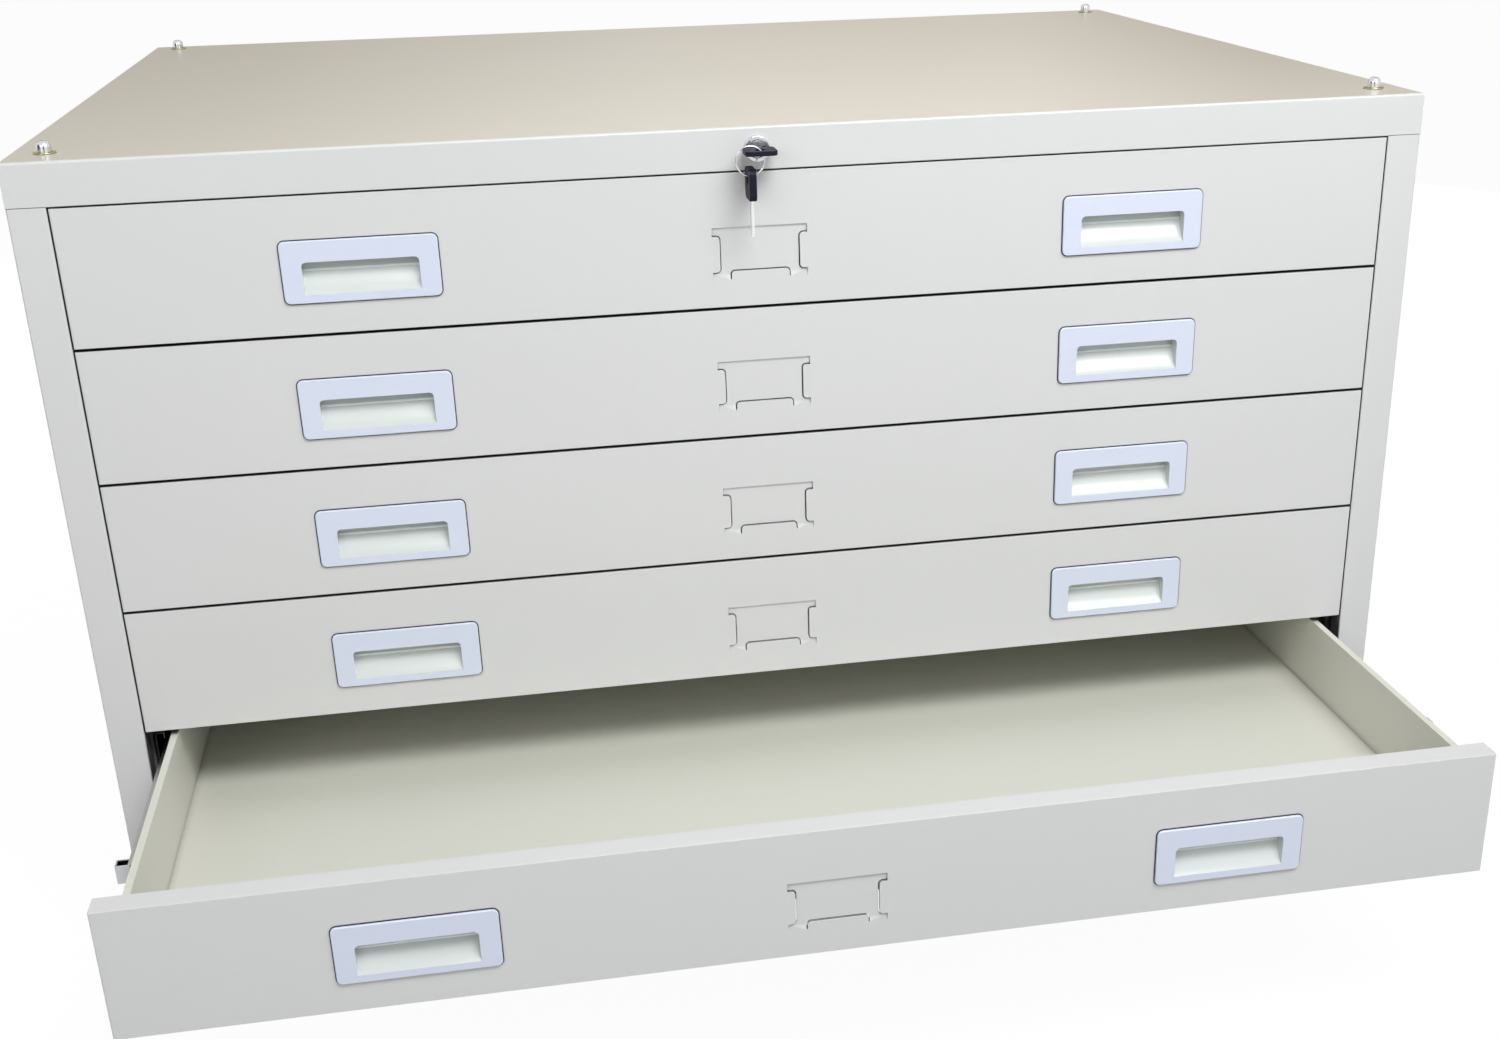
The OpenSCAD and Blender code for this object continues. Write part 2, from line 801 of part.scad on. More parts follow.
// Drawer members of the runners, riveted to the tray's sides
module drawer_runners(i) {
    head_h = middle_h - 2 * runner_t - 2 * slide_gap;
    head_out = drawer_head_in + runner_t;
    color("silver") at_drawer(i) translate([0, 0, runner_z]) both_sides() {
        side_block(plate_in, wall_out, plate_front, plate_back, -plate_h / 2, plate_h / 2);
        side_block(drawer_head_in, plate_in, drawer_head_front, plate_back, -neck_t / 2, neck_t / 2);
        side_block(drawer_head_in, head_out, drawer_head_front, plate_back, -head_h / 2, head_h / 2);
    }
}

// Middle members, which move out a fixed share of the drawer's travel
module middle_runners(i) {
    head_h = outer_h - 2 * runner_t - 2 * slide_gap;
    head_from = middle_back - middle_head_len;
    head_out = middle_head_in + runner_t;
    box_in = runner_inset + near;
    box_back = middle_front + box_depth;
    color("silver") translate([0, -open_at(i) * middle_share, drawer_z(i) + runner_z]) both_sides() {
        channel(middle_web, middle_depth, middle_h, middle_lip, middle_front, middle_back);
        side_block(middle_head_in, middle_web + runner_t, head_from, middle_back, -neck_t / 2, neck_t / 2);
        side_block(middle_head_in, head_out, head_from, middle_back, -head_h / 2, head_h / 2);
        difference() {
            side_block(box_in, middle_web + runner_t, middle_front, box_back, -box_h / 2, box_h / 2);
            side_block(box_in + runner_t, middle_web, middle_front + runner_t, box_back - runner_t,
                -box_h / 2 + runner_t, box_h / 2 + over);
        }
    }
}

module drawer_front_1() { drawer_front(1); }
module drawer_front_2() { drawer_front(2); }
module drawer_front_3() { drawer_front(3); }
module drawer_front_4() { drawer_front(4); }
module drawer_front_5() { drawer_front(5); }
module drawer_tray_1() { drawer_tray(1); }
module drawer_tray_2() { drawer_tray(2); }
module drawer_tray_3() { drawer_tray(3); }
module drawer_tray_4() { drawer_tray(4); }
module drawer_tray_5() { drawer_tray(5); }
module drawer_handles_1() { drawer_handles(1); }
module drawer_handles_2() { drawer_handles(2); }
module drawer_handles_3() { drawer_handles(3); }
module drawer_handles_4() { drawer_handles(4); }
module drawer_handles_5() { drawer_handles(5); }
module drawer_runners_1() { drawer_runners(1); }
module drawer_runners_2() { drawer_runners(2); }
module drawer_runners_3() { drawer_runners(3); }
module drawer_runners_4() { drawer_runners(4); }
module drawer_runners_5() { drawer_runners(5); }
module middle_runners_1() { middle_runners(1); }
module middle_runners_2() { middle_runners(2); }
module middle_runners_3() { middle_runners(3); }
module middle_runners_4() { middle_runners(4); }
module middle_runners_5() { middle_runners(5); }

// Keys

// Flat outline of a key's head from its inner end at 0 to its outer end, with the eye cut out
module head_outline() {
    difference() {
        translate([0, -key_len / 2]) round_outline(key_w, key_len, head_r);
        translate([0, -key_len + eye_inset]) circle(r = eye_r);
    }
}

// A key's head lying flat, with a pocket for the blade
module flat_head() {
    difference() {
        translate([0, 0, -key_t / 2]) linear_extrude(key_t) head_outline();
        block([-blade_w / 2 - slot_gap, -grip - slot_gap, -blade_t / 2 - slot_gap],
            [blade_w / 2 + slot_gap, over, blade_t / 2 + slot_gap]);
    }
}

// A key's blade lying flat, its visible end at 0
module flat_blade() {
    tip = blade_len - tip_len;
    block([-blade_w / 2, -grip, -blade_t / 2], [blade_w / 2, tip, blade_t / 2]);
    block([-blade_w / 2 + tip_in, tip - over, -blade_t / 2], [blade_w / 2 - tip_in, blade_len, blade_t / 2]);
}

module key_blade() {
    color("silver") translate([0, head_in, lock_z]) flat_blade();
}

module key_head() {
    color("dimgray") translate([0, head_in, lock_z]) flat_head();
}

// The second key hangs from the ring with its tip down
module at_spare_key() {
    translate([ring_x, eye_y, spare_z - key_len + eye_inset]) rotate([-90, 0, 0]) rotate([0, 90, 0])
        children();
}

module spare_key_blade() {
    color("silver") at_spare_key() flat_blade();
}

module spare_key_head() {
    color("dimgray") at_spare_key() flat_head();
}

module key_ring() {
    color("silver") translate([ring_x, eye_y, ring_z]) rotate([90, 0, 0]) rotate_extrude($fn = 64)
        translate([key_ring_r, 0]) circle(r = wire_r, $fn = 24);
}

// Casters

// The children at each caster's swivel
module caster_spots() {
    for (x = [-caster_x, caster_x], y = [-caster_y, caster_y]) translate([x, y, 0]) children();
}

module caster_bolt_spots() {
    caster_spots() for (x = [-bolt_pitch_x / 2, bolt_pitch_x / 2], y = [-bolt_pitch_y / 2, bolt_pitch_y / 2])
        translate([x, y, 0]) children();
}

// Top plates with their race cups and the pins that the forks turn on
module caster_plates() {
    color("silver") difference() {
        caster_spots() {
            block([-caster_plate_w / 2, -caster_plate_d / 2, plate_z],
                [caster_plate_w / 2, caster_plate_d / 2, body_z]);
            translate([0, 0, crown_top + near]) cylinder(r = race_r, h = race_h);
            translate([0, 0, crown_bottom - near]) cylinder(r = king_r, h = crown_t + 2 * near + over);
            translate([0, 0, crown_bottom - near - king_head_t]) cylinder(r = king_head_r, h = king_head_t);
        }
        caster_bolt_spots() translate([0, 0, plate_z - over])
            cylinder(r = bolt_r + hole_gap, h = caster_plate_t + 2 * over);
    }
}

// One leg of a fork, seen from the side, with the wheel behind the swivel
module leg_outline(braked) {
    axle = [trail, wheel_r];
    shoulder = crown_top - crown_t / 2;
    knee = [trail + boss_r / 2, crown_bottom - leg_knee];
    polygon([[-leg_half, shoulder], [leg_half, shoulder], knee, axle + [boss_r, 0], axle + [0, -boss_r],
        axle + [-boss_r, 0], [-leg_half, crown_bottom - leg_heel]]);
    translate(axle) circle(r = boss_r);
    if (braked) {
        polygon([[leg_half, shoulder], [pedal_y, pedal_z + pedal_r], [pedal_y + pedal_r, pedal_z], knee]);
        translate([pedal_y, pedal_z]) circle(r = pedal_r);
    }
}

// Fork with its crown, two legs and the axle bolt
module caster_fork(x, y, braked) {
    color("silver") translate([x, y, 0]) {
        difference() {
            union() {
                translate([0, 0, crown_bottom]) cylinder(r = crown_r, h = crown_t);
                for (s = [0, 1]) mirror([s, 0, 0]) translate([leg_in, 0, 0]) rotate([90, 0, 90])
                    linear_extrude(leg_t) leg_outline(braked);
            }
            translate([0, 0, crown_bottom - over]) cylinder(r = king_r + pin_gap, h = crown_t + 2 * over);
            translate([0, trail, wheel_r]) disc_x(axle_r + pin_gap, -hub_w, hub_w);
            if (braked) translate([0, pedal_y, pedal_z]) disc_x(pedal_pin_r + pin_gap, -hub_w, hub_w);
        }
        translate([0, trail, wheel_r]) {
            disc_x(axle_r, -leg_in - leg_t, leg_in + leg_t);
            for (s = [0, 1]) mirror([s, 0, 0])
                disc_x(axle_r + boss_t, leg_in + leg_t, leg_in + leg_t + boss_t);
        }
    }
}

// Wheel with its hub, web and rounded tread
module caster_wheel(x, y) {
    half = wheel_w / 2;
    hub = hub_w / 2;
    bore = axle_r + wheel_gap;
    rim = wheel_r - tyre_t;
    shoulder = rim + tyre_slope;
    edge = wheel_r - tyre_edge;
    color("dimgray") translate([x, y + trail, wheel_r]) rotate([0, 90, 0]) rotate_extrude($fn = 96) polygon([
        [bore, -hub], [boss_r, -hub], [boss_r, -half / 2], [rim, -half / 2], [shoulder, -half], [edge, -half],
        [wheel_r, tyre_edge - half], [wheel_r, half - tyre_edge], [edge, half], [shoulder, half],
        [rim, half / 2], [boss_r, half / 2], [boss_r, hub], [bore, hub]]);
}

// Brake pedal over the wheel, with the pin that it turns on
module brake_pedal(x, y) {
    color("dimgray") translate([x, y + pedal_y, pedal_z]) {
        disc_x(pedal_r, -leg_in + near, leg_in - near);
        disc_x(pedal_pin_r, -leg_in - leg_t - over, leg_in + leg_t + over);
        rotate([pedal_tilt, 0, 0])
            block([-wheel_w / 2, 0, pedal_r - pedal_t], [wheel_w / 2, pedal_len, pedal_r]);
    }
}

module caster_fork_front_left() { caster_fork(-caster_x, -caster_y, true); }
module caster_fork_front_right() { caster_fork(caster_x, -caster_y, true); }
module caster_fork_rear_left() { caster_fork(-caster_x, caster_y, false); }
module caster_fork_rear_right() { caster_fork(caster_x, caster_y, false); }
module caster_wheel_front_left() { caster_wheel(-caster_x, -caster_y); }
module caster_wheel_front_right() { caster_wheel(caster_x, -caster_y); }
module caster_wheel_rear_left() { caster_wheel(-caster_x, caster_y); }
module caster_wheel_rear_right() { caster_wheel(caster_x, caster_y); }
module brake_pedal_front_left() { brake_pedal(-caster_x, -caster_y); }
module brake_pedal_front_right() { brake_pedal(caster_x, -caster_y); }

// Bolts from below through plate, side fold and floor
module caster_bolts() {
    head_bottom = plate_z - bolt_head_h;
    color("silver") caster_bolt_spots() translate([0, 0, head_bottom]) {
        cylinder(r = nut_r, h = bolt_head_h, $fn = 6);
        cylinder(r = bolt_r, h = floor_top + nut_h + thread_end - head_bottom);
    }
}

module caster_nuts() {
    color("silver") caster_bolt_spots() translate([0, 0, floor_top]) difference() {
        cylinder(r = nut_r, h = nut_h, $fn = 6);
        translate([0, 0, -over]) cylinder(r = bolt_r + pin_gap, h = nut_h + 2 * over);
    }
}

top_panel();
left_side_panel();
right_side_panel();
back_panel();
bottom_panel();
runner_uprights();
cabinet_runners();
cap_screws();
stacking_studs();
stud_washers();
stud_nuts();
lock_housing();
lock_nut();
lock_plug();
lock_rod();
lock_bar();
lock_bar_guides();
key_blade();
key_head();
key_ring();
spare_key_blade();
spare_key_head();
drawer_front_1();
drawer_front_2();
drawer_front_3();
drawer_front_4();
drawer_front_5();
drawer_tray_1();
drawer_tray_2();
drawer_tray_3();
drawer_tray_4();
drawer_tray_5();
drawer_handles_1();
drawer_handles_2();
drawer_handles_3();
drawer_handles_4();
drawer_handles_5();
drawer_runners_1();
drawer_runners_2();
drawer_runners_3();
drawer_runners_4();
drawer_runners_5();
middle_runners_1();
middle_runners_2();
middle_runners_3();
middle_runners_4();
middle_runners_5();
caster_plates();
caster_fork_front_left();
caster_fork_front_right();
caster_fork_rear_left();
caster_fork_rear_right();
caster_wheel_front_left();
caster_wheel_front_right();
caster_wheel_rear_left();
caster_wheel_rear_right();
brake_pedal_front_left();
brake_pedal_front_right();
caster_bolts();
caster_nuts();
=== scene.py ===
import math
import bpy
from mathutils import Matrix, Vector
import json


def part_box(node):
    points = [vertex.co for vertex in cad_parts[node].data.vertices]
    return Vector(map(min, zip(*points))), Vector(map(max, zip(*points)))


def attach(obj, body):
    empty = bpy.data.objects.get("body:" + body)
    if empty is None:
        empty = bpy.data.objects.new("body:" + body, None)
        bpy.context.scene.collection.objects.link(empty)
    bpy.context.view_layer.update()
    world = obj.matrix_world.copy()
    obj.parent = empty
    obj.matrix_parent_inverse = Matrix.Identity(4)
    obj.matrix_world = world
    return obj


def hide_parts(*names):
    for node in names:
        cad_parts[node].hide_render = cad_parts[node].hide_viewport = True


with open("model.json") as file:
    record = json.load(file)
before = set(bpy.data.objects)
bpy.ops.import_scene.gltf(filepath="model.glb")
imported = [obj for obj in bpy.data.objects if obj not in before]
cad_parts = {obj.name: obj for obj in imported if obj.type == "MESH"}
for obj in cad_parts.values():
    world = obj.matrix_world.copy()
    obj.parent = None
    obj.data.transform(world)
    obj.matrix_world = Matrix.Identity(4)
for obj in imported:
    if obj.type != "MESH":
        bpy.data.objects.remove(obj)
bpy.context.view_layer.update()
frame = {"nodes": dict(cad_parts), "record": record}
print("frame loaded")

# everything is in metres, in the frame of the CAD model: fronts face -Y


# modelling helpers

def clearPick():
    if bpy.context.object and bpy.context.object.mode != 'OBJECT':
        bpy.ops.object.mode_set(mode='OBJECT')
    bpy.ops.object.select_all(action='DESELECT')


def pickOnly(piece):
    clearPick()
    piece.select_set(True)
    bpy.context.view_layer.objects.active = piece


def applyPlace(piece):
    pickOnly(piece)
    bpy.ops.object.transform_apply(location=True, rotation=True, scale=True)


def addBlock(name, low, high):
    clearPick()
    centre = [(a + b) / 2 for a, b in zip(low, high)]
    bpy.ops.mesh.primitive_cube_add(size=1, location=centre)
    piece = bpy.context.active_object
    piece.name = name
    piece.scale = [b - a for a, b in zip(low, high)]
    applyPlace(piece)
    return piece


# a round bar from its start point along one axis (0, 1 or 2)
def addRound(name, radius, start, length, axis, sides=64):
    clearPick()
    centre = list(start)
    centre[axis] += length / 2
    turn = [(0, math.pi / 2, 0), (-math.pi / 2, 0, 0), (0, 0, 0)][axis]
    bpy.ops.mesh.primitive_cylinder_add(
        vertices=sides, radius=radius, depth=length, location=centre, rotation=turn)
    piece = bpy.context.active_object
    piece.name = name
    applyPlace(piece)
    return piece


def startEdit(piece, kind):
    pickOnly(piece)
    bpy.ops.object.mode_set(mode='EDIT')
    bpy.ops.mesh.select_mode(type=kind)
    bpy.ops.mesh.select_all(action='DESELECT')
    bpy.ops.object.mode_set(mode='OBJECT')


# edges are picked by a test on their two ends
def pickEdges(piece, test):
    startEdit(piece, 'EDGE')
    mesh = piece.data
    for edge in mesh.edges:
        a, b = [mesh.vertices[i].co for i in edge.vertices]
        edge.select = test(a, b)
    bpy.ops.object.mode_set(mode='EDIT')


def leaveEdit():
    bpy.ops.object.mode_set(mode='OBJECT')


def roundEdges(piece, test, width, segments=3):
    pickEdges(piece, test)
    bpy.ops.mesh.bevel(offset=width, segments=segments, affect='EDGES', clamp_overlap=False)
    leaveEdit()


samePlace = 0.00005


def near(a, b):
    return abs(a - b) < samePlace


def applyModifier(piece, kind, **settings):
    pickOnly(piece)
    modifier = piece.modifiers.new(kind.lower(), kind)
    for key, value in settings.items():
        setattr(modifier, key, value)
    bpy.ops.object.modifier_apply(modifier=modifier.name)


def combine(piece, other, operation):
    applyModifier(piece, 'BOOLEAN', operation=operation, solver='EXACT', object=other)
    bpy.data.objects.remove(other, do_unlink=True)


def joinPieces(pieces):
    clearPick()
    for piece in pieces:
        piece.select_set(True)
    bpy.context.view_layer.objects.active = pieces[0]
    bpy.ops.object.join()
    return pieces[0]


# a plate facing the front with rounded corners, and a rounded front edge where one is given
def roundedPlate(name, width, height, corner, x, z, fromY, toY, edge):
    piece = addBlock(name, (x - width / 2, fromY, z - height / 2), (x + width / 2, toY, z + height / 2))
    roundEdges(piece, lambda a, b: not near(a.y, b.y), corner, 6)
    if edge:
        roundEdges(piece, lambda a, b: near(a.y, fromY) and near(b.y, fromY), edge, 3)
    return piece


def setPaints(piece, *paints):
    piece.data.materials.clear()
    for paint in paints:
        piece.data.materials.append(paint)


def copyPiece(piece, name, shift):
    pickOnly(piece)
    bpy.ops.object.duplicate()
    twin = bpy.context.active_object
    twin.name = name
    twin.location = shift
    applyPlace(twin)
    return twin


# a copy of a CAD node's mesh with its flat faces whole again
def copyNode(node, name):
    mesh = frame["nodes"][node].data.copy()
    mesh.materials.clear()
    piece = bpy.data.objects.new(name, mesh)
    bpy.context.scene.collection.objects.link(piece)
    pickOnly(piece)
    bpy.ops.object.mode_set(mode='EDIT')
    bpy.ops.mesh.select_mode(type='VERT')
    bpy.ops.mesh.select_all(action='SELECT')
    bpy.ops.mesh.remove_doubles(threshold=0.00001)
    bpy.ops.mesh.dissolve_limited(angle_limit=math.radians(0.5))
    leaveEdit()
    return piece


def softenEdges(piece, width, segments=2, angle=50):
    applyModifier(piece, 'BEVEL', width=width, segments=segments, limit_method='ANGLE',
                  angle_limit=math.radians(angle), use_clamp_overlap=True)


# shading, material and bookkeeping of a finished piece
def finishPiece(piece, body, slot, paint, *nodes, angle=35):
    pickOnly(piece)
    bpy.ops.object.shade_smooth_by_angle(angle=math.radians(angle))
    applyModifier(piece, 'WEIGHTED_NORMAL', keep_sharp=True, weight=50)
    if not piece.data.materials:
        piece.data.materials.append(paint)
    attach(piece, body)
    if nodes:
        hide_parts(*nodes)
    return piece


# material helpers

def addNode(tree, kind, **inputs):
    node = tree.nodes.new(kind)
    for key, value in inputs.items():
        node.inputs[key.replace('_', ' ')].default_value = value
    return node


def newMaterial(name, roughness, metallic=0.0):
    material = bpy.data.materials.new(name)
    material.use_nodes = True
    shader = material.node_tree.nodes["Principled BSDF"]
    shader.inputs["Roughness"].default_value = roughness
    shader.inputs["Metallic"].default_value = metallic
    return material, material.node_tree, shader


# two close colours blended by a slow noise, so that no face is one flat tone
def variedColour(tree, shader, coord, colourA, colourB, scale):
    broad = addNode(tree, 'ShaderNodeTexNoise', Scale=scale, Detail=3.0)
    blend = tree.nodes.new('ShaderNodeMix')
    blend.data_type = 'RGBA'
    tree.links.new(coord.outputs["Object"], broad.inputs["Vector"])
    tree.links.new(broad.outputs["Fac"], blend.inputs[0])
    blend.inputs[6].default_value = (*colourA, 1)
    blend.inputs[7].default_value = (*colourB, 1)
    tree.links.new(blend.outputs[2], shader.inputs["Base Color"])
    return broad


def variedRoughness(tree, shader, source, low, high):
    spread = addNode(tree, 'ShaderNodeMapRange', To_Min=low, To_Max=high)
    tree.links.new(source.outputs["Fac"], spread.inputs["Value"])
    tree.links.new(spread.outputs["Result"], shader.inputs["Roughness"])


def fineBump(tree, shader, coord, scale, strength, distance, detail=2.0):
    grain = addNode(tree, 'ShaderNodeTexNoise', Scale=scale, Detail=detail)
    bump = addNode(tree, 'ShaderNodeBump', Strength=strength, Distance=distance)
    tree.links.new(coord.outputs["Object"], grain.inputs["Vector"])
    tree.links.new(grain.outputs["Fac"], bump.inputs["Height"])
    tree.links.new(bump.outputs["Normal"], shader.inputs["Normal"])
    return grain


# the shader's present colour passes through a mix with a second colour
def overlayColour(tree, shader, mask, colour):
    blend = tree.nodes.new('ShaderNodeMix')
    blend.data_type = 'RGBA'
    below = shader.inputs["Base Color"].links[0].from_socket
    tree.links.new(mask, blend.inputs[0])
    tree.links.new(below, blend.inputs[6])
    blend.inputs[7].default_value = (*colour, 1)
    tree.links.new(blend.outputs[2], shader.inputs["Base Color"])


# painted shade: ambient occlusion darkens the colour towards near black in narrow joints, slots, gaps and
# hollows, where shade falls
def paintCreviceShade(tree, shader, reach):
    shadeOcclusion = addNode(tree, 'ShaderNodeAmbientOcclusion', Distance=reach)
    shadeOcclusion.samples = 8
    depth = tree.nodes.new('ShaderNodeMapRange')
    for key, value in (("From Min", 0.20), ("From Max", 0.64), ("To Min", 1.0), ("To Max", 0.0)):
        depth.inputs[key].default_value = value
    tree.links.new(shadeOcclusion.outputs["AO"], depth.inputs["Value"])
    overlayColour(tree, shader, depth.outputs["Result"], (0.012, 0.012, 0.014))


# painted shade: faces that look up take a darker, warmer tone, standing in for the dimmer, warmer light on
# the top
def paintTopShade(tree, shader, coord, colour):
    split = tree.nodes.new('ShaderNodeSeparateXYZ')
    facing = tree.nodes.new('ShaderNodeMapRange')
    for key, value in (("From Min", 0.75), ("From Max", 0.98)):
        facing.inputs[key].default_value = value
    tree.links.new(coord.outputs["Normal"], split.inputs["Vector"])
    tree.links.new(split.outputs["Z"], facing.inputs["Value"])
    overlayColour(tree, shader, facing.outputs["Result"], colour)


# powder-coated steel: an orange-peel skin of about a millimetre
def powderCoat(name, light, dark, roughness, reach, topShade=None):
    material, tree, shader = newMaterial(name, roughness)
    coord = tree.nodes.new('ShaderNodeTexCoord')
    broad = variedColour(tree, shader, coord, light, dark, 3.0)
    variedRoughness(tree, shader, broad, roughness - 0.04, roughness + 0.05)
    fineBump(tree, shader, coord, 850.0, 0.10, 0.0002)
    # painted shade on the faces that look up, where a tone is given
    if topShade:
        paintTopShade(tree, shader, coord, topShade)
    # painted shade in joints, gaps and hollows
    paintCreviceShade(tree, shader, reach)
    return material


def smoothPlastic(name, light, dark, roughness, bump=0.04, specular=0.5):
    material, tree, shader = newMaterial(name, roughness)
    shader.inputs["Specular IOR Level"].default_value = specular
    coord = tree.nodes.new('ShaderNodeTexCoord')
    broad = variedColour(tree, shader, coord, light, dark, 14.0)
    variedRoughness(tree, shader, broad, roughness - 0.03, roughness + 0.03)
    fineBump(tree, shader, coord, 600.0, bump, 0.0001)
    return material


# plated steel with faint drawing lines along one direction
def platedSteel(name, light, dark, roughness, stretch, reach=None):
    material, tree, shader = newMaterial(name, roughness, 1.0)
    coord = tree.nodes.new('ShaderNodeTexCoord')
    mapping = tree.nodes.new('ShaderNodeMapping')
    mapping.inputs["Scale"].default_value = stretch
    lines = addNode(tree, 'ShaderNodeTexNoise', Scale=1.0, Detail=4.0)
    tree.links.new(coord.outputs["Object"], mapping.inputs["Vector"])
    tree.links.new(mapping.outputs["Vector"], lines.inputs["Vector"])
    variedColour(tree, shader, coord, light, dark, 45.0)
    variedRoughness(tree, shader, lines, roughness - 0.08, roughness + 0.12)
    bump = addNode(tree, 'ShaderNodeBump', Strength=0.08, Distance=0.0001)
    tree.links.new(lines.outputs["Fac"], bump.inputs["Height"])
    tree.links.new(bump.outputs["Normal"], shader.inputs["Normal"])
    # painted shade in joints and hollows, where a reach is given
    if reach:
        paintCreviceShade(tree, shader, reach)
    return material


coatLight = (0.702, 0.707, 0.706)
coatDark = (0.682, 0.687, 0.686)
# a darker, warmer tone for the cap's faces that look up: painted shade, not a second paint
topShadeTone = (0.68, 0.65, 0.575)
# the last number sets how far the painted crevice shade reaches; on the shell it darkens the inside of the
# cabinet behind the drawers
bodyPaint = powderCoat("bodyPaint", coatLight, coatDark, 0.36, 0.010)
shellPaint = powderCoat("shellPaint", coatLight, coatDark, 0.36, 0.04)
capPaint = powderCoat("capPaint", coatLight, coatDark, 0.30, 0.006, topShadeTone)
trayPaint = powderCoat("trayPaint", (0.70, 0.70, 0.625), (0.68, 0.68, 0.605), 0.42, 0.012)
pullPlastic = smoothPlastic("pullPlastic", (0.71, 0.76, 0.90), (0.69, 0.74, 0.88), 0.24)
# darker and greener than the frame's plastic: the darkness is painted shade inside the pocket
scoopShadePlastic = smoothPlastic("scoopShadePlastic", (0.635, 0.675, 0.665), (0.615, 0.655, 0.645), 0.20)
# near white: a painted highlight line along the rib
ribHighlightPlastic = smoothPlastic("ribHighlightPlastic", (0.94, 0.95, 0.96), (0.92, 0.93, 0.94), 0.15)
# near black: a painted shadow line round each pull's frame
pullShadeLine = smoothPlastic("pullShadeLine", (0.05, 0.05, 0.065), (0.04, 0.04, 0.05), 0.5, specular=0.2)
# the zinc's last number is the reach of its painted crevice shade, which darkens the runners inside the
# cabinet
zincSteel = platedSteel("zincSteel", (0.62, 0.63, 0.64), (0.50, 0.51, 0.53), 0.34, (900, 30, 900), 0.06)
brightSteel = platedSteel("brightSteel", (0.74, 0.74, 0.77), (0.64, 0.64, 0.68), 0.13, (500, 500, 500))
washerSteel = platedSteel("washerSteel", (0.52, 0.50, 0.30), (0.42, 0.40, 0.22), 0.26, (700, 700, 700))
keySteel = platedSteel("keySteel", (0.95, 0.95, 0.96), (0.88, 0.88, 0.90), 0.32, (500, 500, 500))
keyPlastic = smoothPlastic("keyPlastic", (0.006, 0.006, 0.014), (0.012, 0.011, 0.024), 0.5, 0.15, 0.15)
tyreRubber = smoothPlastic("tyreRubber", (0.055, 0.055, 0.058), (0.07, 0.07, 0.07), 0.62, 0.3)
hubPlastic = smoothPlastic("hubPlastic", (0.30, 0.30, 0.31), (0.26, 0.26, 0.27), 0.45, 0.1)
pedalPlastic = smoothPlastic("pedalPlastic", (0.03, 0.03, 0.03), (0.04, 0.04, 0.04), 0.42, 0.2)
print("materials ready")

rowCount = 5
rows = range(1, rowCount + 1)


# top cap, folded over on all four sides

capSizes = {"bend": 0.002, "seam": 0.0005, "edge": 0.0002}


# level edges of a box's outer walls at one height
def onOutline(a, b, low, high, level):
    sameSide = near(a.x, b.x) and (near(a.x, low[0]) or near(a.x, high[0]))
    sameEnd = near(a.y, b.y) and (near(a.y, low[1]) or near(a.y, high[1]))
    return near(a.z, level) and near(b.z, level) and (sameSide or sameEnd)


def makeTopCap():
    s = capSizes
    low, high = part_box("top_panel")
    piece = copyNode("top_panel", "topCap")

    roundEdges(piece, lambda a, b: onOutline(a, b, low, high, high[2]), s["bend"], 4)
    roundEdges(piece, lambda a, b: onOutline(a, b, low, high, low[2]), s["seam"], 1)
    softenEdges(piece, s["edge"])
    finishPiece(piece, "cabinet", "body_paint", capPaint, "top_panel")


makeTopCap()
print("top cap done")


# sides with the front stiles, back and bottom

shellSizes = {"bend": 0.0015, "edge": 0.0003}


def makeSide(node, name):
    s = shellSizes
    low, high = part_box(node)
    frontY = low[1]
    piece = copyNode(node, name)

    def frontUpright(a, b):
        return near(a.x, b.x) and near(a.y, frontY) and near(b.y, frontY) and abs(a.z - b.z) > 0.05

    roundEdges(piece, frontUpright, s["bend"], 4)
    softenEdges(piece, s["edge"])
    finishPiece(piece, "cabinet", "body_paint", shellPaint, node)


def makeBottom():
    s = shellSizes
    low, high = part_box("bottom_panel")
    piece = copyNode("bottom_panel", "bottomSheet")

    def railBend(a, b):
        return near(a.z, high[2]) and near(b.z, high[2]) and near(a.y, low[1]) and near(b.y, low[1])

    roundEdges(piece, railBend, s["bend"], 4)
    softenEdges(piece, s["edge"])
    finishPiece(piece, "cabinet", "body_paint", shellPaint, "bottom_panel")


makeSide("left_side_panel", "leftSide")
makeSide("right_side_panel", "rightSide")
makeBottom()
for node, name in (("back_panel", "backSheet"), ("runner_uprights", "runnerUprights")):
    sheet = copyNode(node, name)
    softenEdges(sheet, shellSizes["edge"])
    finishPiece(sheet, "cabinet", "body_paint", shellPaint, node)
print("body sheets done")


# drawer fronts: one is finished and the others are copies of it

frontSizes = {"bend": 0.0010, "edge": 0.0002}


def rowShift(node):
    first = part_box(node + "_1")[0]
    return lambda row: [b - a for a, b in zip(first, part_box(f"{node}_{row}")[0])]


labelSizes = {
    "width": 0.0685, "height": 0.038, "centreZ": 0.038, "tabReach": 0.0054, "tabLength": 0.0254,
    "lowWidth": 0.042, "lowHeight": 0.0066, "corner": 0.0025, "slot": 0.0008,
    "slotFrom": 0.0004, "slotTo": 0.0034, "margin": 0.0001,
    "bead": 0.0010, "beadDeep": 0.0008, "beadCorner": 0.003, "beadReach": 0.005,
}


# the slot left open round one lanced tab, inside the pressed recess
def tabSlot(s, x, z, width, height, faceY, low, high):
    fromY, toY = faceY + s["slotFrom"], faceY + s["slotTo"]
    slot = roundedPlate("slot", width + 2 * s["slot"], height + 2 * s["slot"], s["corner"] + s["slot"],
                        x, z, fromY, toY, 0)
    tab = roundedPlate("tab", width, height, s["corner"], x, z, fromY - s["margin"], toY + s["margin"], 0)
    combine(slot, tab, 'DIFFERENCE')
    window = addBlock("window", (low[0], fromY - s["margin"], low[1]), (high[0], toY + s["margin"], high[1]))
    combine(slot, window, 'INTERSECT')
    return slot


